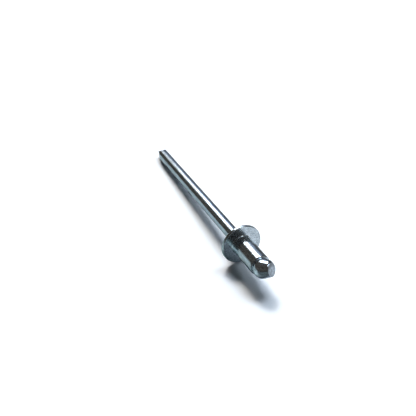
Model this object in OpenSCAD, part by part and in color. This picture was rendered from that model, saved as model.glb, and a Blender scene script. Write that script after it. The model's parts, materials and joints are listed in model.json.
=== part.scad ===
// Open-end blind rivet (pop rivet), bright zinc-plated steel, not yet set.
// Two pieces: the hollow rivet body and the mandrel that runs through it.
// Millimetres, +Z up. The rivet lies as it comes to rest on a table: the flange's
// rim and the mandrel's point touch z = 0, and its axis runs along X, head end to +X.
// Each piece is drawn upright about its own axis first, with the flange's bearing
// face at z = 0, the head end up and the tail down, and is then laid down.

/* [Rivet body] */
// Outside diameter of the tube
body_d = 3.2; // [3.1:0.1:4]
// Length of the tube, from the bearing face of the flange to its rim
body_l = 5.65; // [4:0.05:16]
// Radial clearance between the bore and the mandrel
bore_clear = 0.04; // [0.02:0.01:0.08]
// Rounding of the rim's outer edge
rim_round = 0.22; // [0.05:0.01:0.25]

/* [Flange] */
// Diameter of the flange
flange_d = 6.4; // [5.6:0.1:8]
// Thickness of the flange at its edge
flange_edge = 0.48; // [0.3:0.02:0.7]
// Height of the domed top above the bearing face
flange_h = 0.88; // [0.75:0.01:1.3]
// Rounding of the flange's edges
flange_round = 0.12; // [0.04:0.01:0.14]
// Fillet between the tube and the bearing face
root_fillet = 0.15; // [0.05:0.01:0.3]
// Width of the dished ring round the mandrel in the flange's top
dish_w = 0.28; // [0.15:0.01:0.5]
// Depth of that dished ring
dish_depth = 0.2; // [0.1:0.01:0.3]

/* [Mandrel shank] */
// Diameter of the mandrel's shank
mandrel_d = 2.06; // [2:0.01:2.2]
// Length of the shank standing out behind the flange's top
tail_l = 33.7; // [20:0.1:45]
// How much thinner the shank is inside the tube, just below its head
neck_thin = 0.04; // [0.02:0.01:0.1]
// Depth of the groove that the pressed flange leaves in the shank
grip_depth = 0.06; // [0.02:0.01:0.15]
// Width of that groove along the shank
grip_w = 0.35; // [0.15:0.05:0.6]
// How far that groove reaches into the flange's dish
grip_in = 0.12; // [0.02:0.01:0.15]
// Depth of each of the two break notches pinched into the shank
notch_depth = 0.3; // [0.1:0.01:0.45]
// Distance of the break notches below the mandrel's head
notch_below = 0.9; // [0.6:0.05:2]
// Included angle of a break notch
notch_angle = 80; // [40:1:100]

/* [Mandrel point] */
// Length of the long sheared facet of the point
point_l = 2.3; // [0.8:0.05:3]
// Depth to which that facet cuts across the shank, as a share of its diameter
point_cut = 0.26; // [0.1:0.01:0.45]
// Length of the short facet, a quarter turn on
point_short_l = 1.4; // [0.3:0.05:3]
// Depth of the short facet, as a share of the diameter
point_short_cut = 0.34; // [0.1:0.01:0.45]
// Which way round the shank the long facet faces, from straight down
point_turn = -88; // [-135:1:-45]
// How much thinner the shank is at its very end
point_thin = 0.08; // [0.02:0.01:0.16]

/* [Mandrel head] */
// Diameter of the head's round back
head_d = 2.92; // [2.7:0.01:2.95]
// Height of the middle of that round above the rim on which the head seats
head_rise = 0.72; // [0.6:0.01:0.9]
// Diameter of the round die that keeps the leaning side within the tube's width
die_d = 3.28; // [3.2:0.01:3.4]
// Height of the middle of that die above the rim
die_rise = 1; // [0.9:0.01:1.1]
// Length from the middle of the round to the blunt nose
nose_l = 1.52; // [1.2:0.01:1.7]
// Slope of the head's sides towards the nose
nose_taper = 14; // [5:1:20]
// Rounding of the nose's edge
nose_round = 0.18; // [0.05:0.01:0.3]
// How far the nose leans away from the rivet's axis
head_lean = 38.5; // [0:0.5:40]
// Which way the nose leans, from straight down
head_turn = 122; // [-180:1:180]

/* [Hidden] */

$fn = 96;
eps = 0.01;

body_r = body_d / 2;
mandrel_r = mandrel_d / 2;
bore_r = mandrel_r + bore_clear;
flange_r = flange_d / 2;
head_r = head_d / 2;

dish_r = bore_r + dish_w;
tail_end = -(flange_h + tail_l);
neck_r = mandrel_r - neck_thin / 2;
point_r = mandrel_r - point_thin / 2;
// Middle of the groove in the shank
grip_z = grip_in - flange_h - grip_w / 2;

// Centre of the round of the nose's edge, in a half section through the head
// about its own leaning axis
nose_z = nose_l - nose_round;
nose_r = (head_r - nose_round - nose_z * sin(nose_taper)) / cos(nose_taper);

// How the rivet lies. It rests on the lower round of the flange's edge, at
// (edge_z, edge_r) in its own frame, and on the underside of the shank's very end.
edge_z = flange_round - flange_edge;
edge_r = flange_r - flange_round;
rest_run = edge_z - tail_end;
rest_rise = edge_r - point_r;
lie_angle = atan2(rest_rise, rest_run)
          + asin(flange_round / norm([rest_run, rest_rise]));
lie_lift = point_r * cos(lie_angle) - tail_end * sin(lie_angle);
nose_along = sin(head_lean) * cos(head_turn) * sin(lie_angle)
           + cos(head_lean) * cos(lie_angle);
nose_reach = nose_z * nose_along + nose_r * sqrt(1 - nose_along * nose_along) + nose_round;
front_x = (body_l + head_rise) * cos(lie_angle) + max(nose_reach, head_r);
back_x = tail_end * cos(lie_angle) - point_r * sin(lie_angle);
mid_x = (front_x + back_x) / 2;

// Lays an upright piece down, axis along X, head end to +X, on the table.
module lie_down() {
    translate([-mid_x, 0, lie_lift])
        rotate([0, 90 - lie_angle, 0])
            children();
}

// Disc of radius r about the point c of a half section.
module round_at(c, r) {
    translate(c) circle(r = r);
}

// Half section of the body: x is the radius, y the height along the axis.
module body_section() {
    difference() {
        union() {
            // Tube with its rounded rim
            translate([bore_r, -eps])
                square([body_r - bore_r, body_l - rim_round + eps]);
            translate([bore_r, body_l - rim_round - eps])
                square([body_r - rim_round - bore_r, rim_round + eps]);
            round_at([body_r - rim_round, body_l - rim_round], rim_round);
            // Fillet at the root of the tube
            difference() {
                translate([body_r - eps, -eps]) square(root_fillet + eps);
                round_at([body_r + root_fillet, root_fillet], root_fillet);
            }
            flange_section();
        }
        // Dished ring round the mandrel, pressed into the top
        polygon([[bore_r - eps, -flange_h - eps],
                 [dish_r, -flange_h - eps],
                 [bore_r - eps, -flange_h + dish_depth]]);
    }
}

// Flange: flat bearing face at y = 0, rounded edge, shallow domed top below it.
module flange_section() {
    crown_rise = flange_h - flange_edge;
    crown_run = flange_r - flange_round;
    crown_r = (crown_run * crown_run + crown_rise * crown_rise) / (2 * crown_rise);
    translate([bore_r, -flange_edge + flange_round])
        square([flange_r - bore_r, flange_edge - 2 * flange_round]);
    translate([bore_r, -flange_edge])
        square([flange_r - flange_round - bore_r, flange_edge]);
    for (y = [-flange_round, -flange_edge + flange_round])
        round_at([flange_r - flange_round, y], flange_round);
    intersection() {
        translate([0, crown_r - flange_h]) circle(r = crown_r, $fn = 720);
        translate([bore_r, -flange_h]) square([crown_run - bore_r, crown_rise + eps]);
    }
}

module rivet_body() {
    color([0.78, 0.8, 0.83])
        lie_down()
            rotate_extrude() body_section();
}

// Half section of the head about its own axis: round at the back, its sides
// tapering from that round to the blunt nose, where the wire was sheared. The side
// runs a hair inside its tangent, so that it crosses both rounds.
module head_section() {
    hair = 0.00002;
    side = [cos(nose_taper), sin(nose_taper)];
    intersection() {
        circle(r = head_r);
        translate([0, -head_r]) square([head_r, 2 * head_r]);
    }
    polygon([[0, 0], (head_r - hair) * side,
             [nose_r, nose_z] + (nose_round - hair) * side,
             [nose_r, nose_z], [nose_r, nose_l], [0, nose_l]]);
    round_at([nose_r, nose_z], nose_round);
}

// The head leans to one side. It seats flat on the rim, and the round die that
// formed it holds its leaning side within the width of the tube.
module mandrel_head() {
    intersection() {
        translate([0, 0, body_l + die_rise]) sphere(r = die_d / 2);
        translate([-die_d, -die_d, body_l]) cube(2 * die_d);
        translate([0, 0, body_l + head_rise])
            rotate([0, 0, head_turn])
                rotate([0, head_lean, 0])
                    rotate_extrude() head_section();
    }
}

// Half section of the shank: plain from its groove to where its point begins, a
// little thinner from there to its end and, inside the tube, towards its head.
module shank_section() {
    polygon([[0, tail_end], [point_r, tail_end],
             [mandrel_r, tail_end + point_l], [mandrel_r, grip_z],
             [neck_r, body_l], [neck_r, body_l + head_rise], [0, body_l + head_rise]]);
}

// The shallow round groove in the shank where the flange's dished top was pressed
// on it.
module grip_ring() {
    groove_r = (grip_w * grip_w / 4 + grip_depth * grip_depth) / (2 * grip_depth);
    rotate_extrude()
        round_at([mandrel_r - grip_depth + groove_r, grip_z], groove_r);
}

// A break notch: a wedge whose edge runs across the shank, opening outwards.
module break_notch() {
    mouth = notch_depth + eps;
    translate([mandrel_r - notch_depth, 0, body_l - notch_below])
        rotate([90, 0, 0])
            linear_extrude(height = 2 * mandrel_d, center = true)
                polygon([[0, 0], [mouth, mouth * tan(notch_angle / 2)],
                         [mouth, -mouth * tan(notch_angle / 2)]]);
}

// What a sheared facet of the point takes off, on the +x side: it starts at that
// length from the end, and is that share of the diameter deep there.
module point_cutter(length, share) {
    slope = atan2(share * mandrel_d, length);
    translate([mandrel_r, 0, tail_end + length])
        rotate([0, slope, 0])
            translate([0, -mandrel_d, -2 * length - mandrel_d])
                cube([mandrel_d, 2 * mandrel_d, 2 * length + mandrel_d]);
}

module mandrel() {
    color([0.8, 0.81, 0.83])
        lie_down()
            difference() {
                union() {
                    rotate_extrude() shank_section();
                    mandrel_head();
                }
                grip_ring();
                for (side = [0, 180])
                    rotate([0, 0, side]) break_notch();
                rotate([0, 0, point_turn]) {
                    point_cutter(point_l, point_cut);
                    rotate([0, 0, -90]) point_cutter(point_short_l, point_short_cut);
                }
            }
}

rivet_body();
mandrel();
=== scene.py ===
import json
import math

import bmesh
import bpy
from mathutils import Matrix, Vector

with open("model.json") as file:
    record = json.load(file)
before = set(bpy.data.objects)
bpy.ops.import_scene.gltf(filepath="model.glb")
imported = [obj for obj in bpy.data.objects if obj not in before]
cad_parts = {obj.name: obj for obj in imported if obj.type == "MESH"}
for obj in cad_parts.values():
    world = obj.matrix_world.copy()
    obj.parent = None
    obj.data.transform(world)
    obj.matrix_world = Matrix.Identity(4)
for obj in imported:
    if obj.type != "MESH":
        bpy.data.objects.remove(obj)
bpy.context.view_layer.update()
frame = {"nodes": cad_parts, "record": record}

MM = 0.001


# Camera

PHOTO_WIDTH = 416
SENSOR_WIDTH = 36.0
FOCAL_PIXELS = 554.0
CAMERA_TURN = math.radians(65.3)
CAMERA_HEIGHT_ANGLE = math.radians(35.95)
# Where the middle of the flange's bearing face lies, seen from the camera:
# to the right, down and away
FLANGE_FROM_CAMERA = Vector((5.09, 5.51, 83.2)) * MM


def mount(name):
    return next(m for m in frame["record"]["mounts"] if m["name"] == name)


def rivet_axis():
    """The rivet's axis, towards the head, and the middle of the bearing face."""
    tube = mount("tube")
    along = Vector(tube["axis"]).normalized()
    middle = Vector(tube["pos_m"])
    face = Vector(mount("bearing_face")["pos_m"])
    return along, middle + along * (face - middle).dot(along)


def make_camera():
    turn, height = CAMERA_TURN, CAMERA_HEIGHT_ANGLE
    right = Vector((math.cos(turn), math.sin(turn), 0))
    ahead = Vector((-math.sin(turn) * math.cos(height), math.cos(turn) * math.cos(height),
                    -math.sin(height)))
    up = right.cross(ahead)
    offset = FLANGE_FROM_CAMERA
    place = flange_middle - right * offset.x + up * offset.y - ahead * offset.z
    data = bpy.data.cameras.new("camera")
    data.sensor_width = SENSOR_WIDTH
    data.lens = SENSOR_WIDTH * FOCAL_PIXELS / PHOTO_WIDTH
    data.clip_start = 1 * MM
    camera = bpy.data.objects.new("camera", data)
    turned = Matrix((right, up, -ahead)).transposed().to_4x4()
    camera.matrix_world = Matrix.Translation(place) @ turned
    bpy.context.collection.objects.link(camera)
    bpy.context.scene.camera = camera


axis, flange_middle = rivet_axis()
make_camera()


# Shader nodes

class Graph:
    """A tree of shader nodes, with short ways to add and join them."""

    def __init__(self, tree):
        self.tree = tree

    def put(self, value, socket):
        if isinstance(value, bpy.types.NodeSocket):
            self.tree.links.new(value, socket)
        else:
            socket.default_value = value

    def node(self, kind, inputs=(), **settings):
        made = self.tree.nodes.new(kind)
        for key, value in settings.items():
            setattr(made, key, value)
        for key, value in dict(inputs).items():
            self.put(value, made.inputs[key])
        return made

    def maths(self, operation, a, b=0.0, c=0.0):
        made = self.node("ShaderNodeMath", {0: a, 1: b, 2: c}, operation=operation)
        return made.outputs[0]

    def times(self, a, b):
        return self.maths("MULTIPLY", a, b)

    def dot(self, place, direction):
        made = self.node("ShaderNodeVectorMath", {0: place, 1: direction},
                         operation="DOT_PRODUCT")
        return made.outputs["Value"]

    def toned(self, share, level):
        """1 where share is 0, and level where share is 1."""
        return self.maths("MULTIPLY_ADD", share, level - 1, 1.0)

    def spread(self, value, span, tones=(0.0, 1.0)):
        """Runs from the first tone to the second as the value crosses the span."""
        made = self.node("ShaderNodeMapRange", {
            "Value": value, "From Min": span[0], "From Max": span[1],
            "To Min": tones[0], "To Max": tones[1]})
        return made.outputs["Result"]

    def soft_step(self, value, start, end):
        """0 at start and 1 at end, easing in and out."""
        rising = start < end
        made = self.node("ShaderNodeMapRange", {
            "Value": value, "From Min": min(start, end), "From Max": max(start, end),
            "To Min": 0.0 if rising else 1.0, "To Max": 1.0 if rising else 0.0},
            interpolation_type="SMOOTHSTEP")
        return made.outputs["Result"]

    def mix(self, share, a, b, blend="MIX"):
        made = self.node("ShaderNodeMix", {"Factor": share}, data_type="RGBA", blend_type=blend)
        self.put(a, made.inputs[6])
        self.put(b, made.inputs[7])
        return made.outputs[2]

    def point(self, x, y, z):
        return self.node("ShaderNodeCombineXYZ", {"X": x, "Y": y, "Z": z}).outputs[0]

    def noise(self, place, scale, detail, rough):
        made = self.node("ShaderNodeTexNoise", {
            "Vector": place, "Scale": scale, "Detail": detail, "Roughness": rough})
        return made.outputs["Fac"]

    def ray(self, kind):
        return self.node("ShaderNodeLightPath").outputs[kind]


class Finish(Graph):
    """A material's nodes, round its shader."""

    def __init__(self, name):
        self.material = bpy.data.materials.new(name)
        self.material.use_nodes = True
        super().__init__(self.material.node_tree)
        self.shader = self.tree.nodes["Principled BSDF"]

    def object_place(self):
        return self.node("ShaderNodeTexCoord").outputs["Object"]

    def rivet_place(self):
        """The place on the rivet, in millimetres from the middle of the bearing face:
        x level across the rivet, y up across it, z along its axis towards the head."""
        upright = axis.to_track_quat("Z", "Y").inverted().to_matrix()
        moved = self.node("ShaderNodeVectorMath", {0: self.object_place(), 1: flange_middle},
                          operation="SUBTRACT")
        return [self.dot(moved.outputs[0], Vector(row) / MM) for row in upright]


# Metal

# Each pattern's cells to a millimetre, its layers of detail and how rough they are
STREAKS = (4.5, 5.0, 0.75)
CLOUDS = (1.1, 4.0, 0.65)
GRAIN = (4.5, 3.0, 0.7)
MARKS = (3.4, 2.0, 0.5)
TEAR = (2.6, 3.0, 0.6)
# Streaks and marks are longer than they are wide: their width as a share of their length
STREAK_WIDTH = 0.06
MARK_WIDTH = 0.4
# The part of a pattern's values that counts
CLOUD_TONE_SPAN = (0.4, 0.6)
CLOUD_GLOSS_SPAN = (0.38, 0.62)
STREAK_SPAN = (0.36, 0.64)
GRAIN_SPAN = (0.38, 0.62)
MARK_SPAN = (0.6, 0.68)
TEAR_SPAN = (0.42, 0.6)
# What a pattern multiplies the colour by, at the two ends of that part
STREAK_TONES = (0.66, 1.14)
GRAIN_TONES = (0.8, 1.12)
MARK_TONES = (1.0, 0.72)
# What the streaks multiply the roughness by
STREAK_GLOSS = (1.2, 0.85)


def metal(name, pale, dull, roughness, streak_depth, grain_depth):
    """Bright zinc on drawn steel: lengthwise streaks, cloudy plating, fine grain and
    small handling marks. Depths are in millimetres. Gives its nodes, the place on the
    rivet, and the colour, roughness and height so far."""
    g = Finish(name)
    x, y, z = g.rivet_place()
    here = g.point(x, y, z)
    streaks = g.noise(g.point(x, y, g.times(z, STREAK_WIDTH)), *STREAKS)
    clouds = g.noise(here, *CLOUDS)
    grain = g.noise(here, *GRAIN)
    marks = g.noise(g.point(x, y, g.times(z, MARK_WIDTH)), *MARKS)
    tone = g.mix(g.spread(clouds, CLOUD_TONE_SPAN), (*pale, 1), (*dull, 1))
    fine = g.times(g.spread(grain, GRAIN_SPAN, GRAIN_TONES), g.spread(marks, MARK_SPAN, MARK_TONES))
    shade = g.times(g.spread(streaks, STREAK_SPAN, STREAK_TONES), fine)
    colour = g.mix(1.0, tone, shade, blend="MULTIPLY")
    rough = g.times(g.spread(clouds, CLOUD_GLOSS_SPAN, roughness),
                    g.spread(streaks, STREAK_SPAN, STREAK_GLOSS))
    height = g.maths("MULTIPLY_ADD", streaks, streak_depth, g.times(grain, grain_depth))
    return g, (x, y, z), colour, rough, height


def finish_metal(g, colour, rough, height):
    g.put(colour, g.shader.inputs["Base Color"])
    g.shader.inputs["Metallic"].default_value = 1.0
    g.put(rough, g.shader.inputs["Roughness"])
    bump = g.node("ShaderNodeBump", {"Height": height, "Strength": 1.0, "Distance": MM})
    g.put(bump.outputs[0], g.shader.inputs["Normal"])
    return g.material


def zinc_plate():
    g, _, colour, rough, height = metal(
        "zinc plate", pale=(0.77, 0.86, 0.92), dull=(0.57, 0.65, 0.7),
        roughness=(0.09, 0.17), streak_depth=0.008, grain_depth=0.006)
    return finish_metal(g, colour, rough, height)


# The blunt nose of the mandrel's head, with the same sizes as in the part's source: how
# far it leans out of the axis, which way from straight down, and, in millimetres, how
# far along the axis the head's middle lies and how far from there the nose ends
NOSE_LEAN = math.radians(38.5)
NOSE_TURN = math.radians(122)
HEAD_MIDDLE = 6.37
NOSE_LENGTH = 1.52
# How far short of the nose's end the sheared face starts, and where it is full
FACE_START, FACE_FULL = 0.08, 0.02


def sheared_face(g, place):
    """1 on the blunt end of the nose, 0 elsewhere."""
    across = math.sin(NOSE_LEAN)
    lean = Vector((across * math.sin(NOSE_TURN), -across * math.cos(NOSE_TURN),
                   math.cos(NOSE_LEAN)))
    end = NOSE_LENGTH + HEAD_MIDDLE * lean.z
    return g.soft_step(g.dot(g.point(*place), lean), end - FACE_START, end - FACE_FULL)


# The stain and painted shade on that face: their colour and strength, how strong the torn
# pattern makes the stain, and between which heights over the rivet's axis the painted shade,
# darker towards the top of the face, becomes full
STAIN_AND_SHADE_COLOUR = (0.18, 0.19, 0.21)
STAIN_AND_SHADE_STRENGTH = 0.85
STAIN_TEAR = (0.18, 0.65)
TOP_SHADE_FROM, TOP_SHADE_FULL = 0.4, 1.1
# How much rougher the face is, and how deep it is torn
FACE_ROUGH = 0.22
TEAR_DEPTH = 0.05


def drawn_wire():
    g, place, colour, rough, height = metal(
        "drawn wire", pale=(0.73, 0.83, 0.92), dull=(0.65, 0.74, 0.82),
        roughness=(0.09, 0.15), streak_depth=0.005, grain_depth=0.003)
    face = sheared_face(g, place)
    torn = g.noise(g.point(*place), *TEAR)
    # Painted shade: the sheared face darkens towards its top, and the torn pattern adds a random
    # stain
    spots_and_top_shade = g.maths("MAXIMUM", g.soft_step(place[1], TOP_SHADE_FROM, TOP_SHADE_FULL),
                    g.spread(torn, TEAR_SPAN, STAIN_TEAR))
    stain_and_shade = g.times(g.times(face, spots_and_top_shade), STAIN_AND_SHADE_STRENGTH)
    colour = g.mix(stain_and_shade, colour, (*STAIN_AND_SHADE_COLOUR, 1))
    rough = g.maths("MULTIPLY_ADD", face, FACE_ROUGH, rough)
    height = g.maths("MULTIPLY_ADD", g.times(face, torn), TEAR_DEPTH, height)
    return finish_metal(g, colour, rough, height)


def dress(node, material):
    piece = frame["nodes"][node]
    piece.data.materials.clear()
    piece.data.materials.append(material)


dress("rivet_body", zinc_plate())
dress("mandrel", drawn_wire())


# Floor

FLOOR_HALF = 0.6
FLOOR_COLOUR = (0.92, 0.925, 0.93)
FLOOR_ROUGH = 0.9
# The floor is this much whiter to the camera than to the light
CAMERA_GAIN = 1.2
# What the metal mirrors of the floor, with painted shade and a painted tint in it: the share
# of its tone near the rivet, and its colour left of the rivet, with the places where that
# starts and is full
MIRRORED_SHARE = 0.75
PAINTED_LEFT_TINT = (0.84, 0.96, 0.92)
LEFT_FROM, LEFT_FULL = -0.5, -2.5
# Where painted shade makes the mirrored floor darker: between which x and which y, in
# millimetres, that sets in, and the share of the tone that is left
PAINTED_SHADE_ZONES = [
    # Beyond the shank
    ((14, 6), (1.5, 5), 0.15),
    # Left of the shank
    ((18, 13), (LEFT_FROM, LEFT_FULL), 0.65),
    # In front of the head
    ((18, 24), (2, -2), 0.16),
    # Far off on the left, at any x
    (None, (-12, -60), 0.5),
]


def mirrored_tone(g, x, y):
    """The share of the floor's tone that the metal mirrors, lowered by painted shade."""
    tone = MIRRORED_SHARE
    for span_x, span_y, left in PAINTED_SHADE_ZONES:
        inside = g.soft_step(y, span_y[0] * MM, span_y[1] * MM)
        if span_x:
            inside = g.times(g.soft_step(x, span_x[0] * MM, span_x[1] * MM), inside)
        tone = g.times(tone, g.toned(inside, left))
    return tone


def white_sheet():
    g = Finish("white sheet")
    apart = g.node("ShaderNodeSeparateXYZ", {0: g.object_place()})
    x, y = apart.outputs["X"], apart.outputs["Y"]
    mirrored = g.ray("Is Glossy Ray")
    gain = g.toned(g.ray("Is Camera Ray"), CAMERA_GAIN)
    # Painted shade: the floor is darker only where the metal mirrors it
    painted_shade = g.times(g.maths("SUBTRACT", 1.0, mirrored_tone(g, x, y)), mirrored)
    level = g.maths("SUBTRACT", gain, painted_shade)
    # Painted reflection tint: the floor that the metal mirrors left of the rivet is greener
    left = g.times(g.soft_step(y, LEFT_FROM * MM, LEFT_FULL * MM), mirrored)
    painted_tint = g.mix(left, (*FLOOR_COLOUR, 1), (*PAINTED_LEFT_TINT, 1))
    colour = g.node("ShaderNodeVectorMath", {0: painted_tint, "Scale": level}, operation="SCALE")
    g.put(colour.outputs[0], g.shader.inputs["Base Color"])
    g.shader.inputs["Roughness"].default_value = FLOOR_ROUGH
    g.shader.inputs["Specular IOR Level"].default_value = 0.0
    return g.material


def make_floor():
    shape = bmesh.new()
    bmesh.ops.create_grid(shape, x_segments=1, y_segments=1, size=FLOOR_HALF)
    mesh = bpy.data.meshes.new("floor")
    shape.to_mesh(mesh)
    shape.free()
    mesh.materials.append(white_sheet())
    floor = bpy.data.objects.new("floor", mesh)
    bpy.context.collection.objects.link(floor)


make_floor()


# Light

def towards(turn, height):
    turn, height = math.radians(turn), math.radians(height)
    return Vector((math.cos(turn) * math.cos(height), math.sin(turn) * math.cos(height),
                   math.sin(height)))


ROOM_COLOUR = (0.072, 0.063, 0.055)
# The other tones of the room that the metal mirrors: turn, height, reach and softness of
# the edge in degrees, and colour
ROOM_PATCHES = [
    # Pale wall below and beside the window, and its brighter middle
    (148, 24, 18, 8, (0.17, 0.2, 0.27)),
    (151, 31, 9, 6, (0.5, 0.56, 0.66)),
    # Small opening that glints at the tube's root
    (62, 63, 6, 2, (9.0, 9.0, 9.0)),
    # Overhead
    (0, 90, 22, 8, (0.45, 0.47, 0.5)),
    # Wall on the right
    (64, 24, 20, 8, (0.22, 0.23, 0.24)),
    # Dark wall behind the camera
    (-25, 38, 30, 14, (0.045, 0.042, 0.042)),
]


def light_room():
    """A dark room with its patches. Seen directly, it is white."""
    world = bpy.data.worlds.new("room")
    bpy.context.scene.world = world
    world.use_nodes = True
    # The lamps light the floor: the room is only mirrored
    world.cycles_visibility.diffuse = False
    g = Graph(world.node_tree)
    back = g.tree.nodes["Background"]
    back.inputs["Color"].default_value = (*ROOM_COLOUR, 1)
    room = back.outputs[0]
    place = g.node("ShaderNodeTexCoord").outputs["Generated"]
    for turn, height, reach, edge, colour in ROOM_PATCHES:
        outside = math.cos(math.radians(reach + edge))
        inside = math.cos(math.radians(max(0, reach - edge)))
        share = g.soft_step(g.dot(place, towards(turn, height)), outside, inside)
        glow = g.node("ShaderNodeBackground", {"Color": (*colour, 1)})
        room = g.node("ShaderNodeMixShader", {0: share, 1: room, 2: glow.outputs[0]}).outputs[0]
    white = g.node("ShaderNodeBackground", {"Color": (1, 1, 1, 1)})
    seen = g.ray("Is Camera Ray")
    room = g.node("ShaderNodeMixShader", {0: seen, 1: room, 2: white.outputs[0]}).outputs[0]
    g.put(room, g.tree.nodes["World Output"].inputs["Surface"])


light_room()

DAYLIGHT = (1.0, 1.0, 1.0)
SKYLIGHT = (0.86, 1.0, 1.17)
LAMP_DISTANCE = 3.0


def add_lamp(name, turn, height, spans, power, mirrored=True, colour=DAYLIGHT):
    """An oval lamp, aimed at the flange from the given turn and height in degrees.
    It spans that many degrees across and up, seen from there."""
    away = towards(turn, height)
    data = bpy.data.lights.new(name, "AREA")
    data.shape = "ELLIPSE"
    data.size, data.size_y = (2 * LAMP_DISTANCE * math.tan(math.radians(s / 2)) for s in spans)
    data.energy = power
    data.color = colour
    lamp = bpy.data.objects.new(name, data)
    lamp.location = flange_middle + away * LAMP_DISTANCE
    lamp.rotation_euler = (-away).to_track_quat("-Z", "Y").to_euler()
    lamp.visible_glossy = mirrored
    bpy.context.collection.objects.link(lamp)


add_lamp("window", 168, 51, (28, 15), 16)
add_lamp("window_main", 167, 53, (16, 9), 37, mirrored=False)
add_lamp("window_glow", 168, 43, (31, 24), 15)
add_lamp("window_foot", 174, 30, (34, 14), 2.7)
add_lamp("ceiling", 113, 59, (28, 15), 20, mirrored=False, colour=SKYLIGHT)
add_lamp("ceiling_middle", 126, 64, (28, 17), 21, colour=SKYLIGHT)
add_lamp("side", 96, 41, (20, 12), 11, mirrored=False, colour=SKYLIGHT)
add_lamp("sky", 20, 70, (90, 90), 0.8, mirrored=False, colour=SKYLIGHT)

bpy.context.scene.view_settings.view_transform = "Standard"
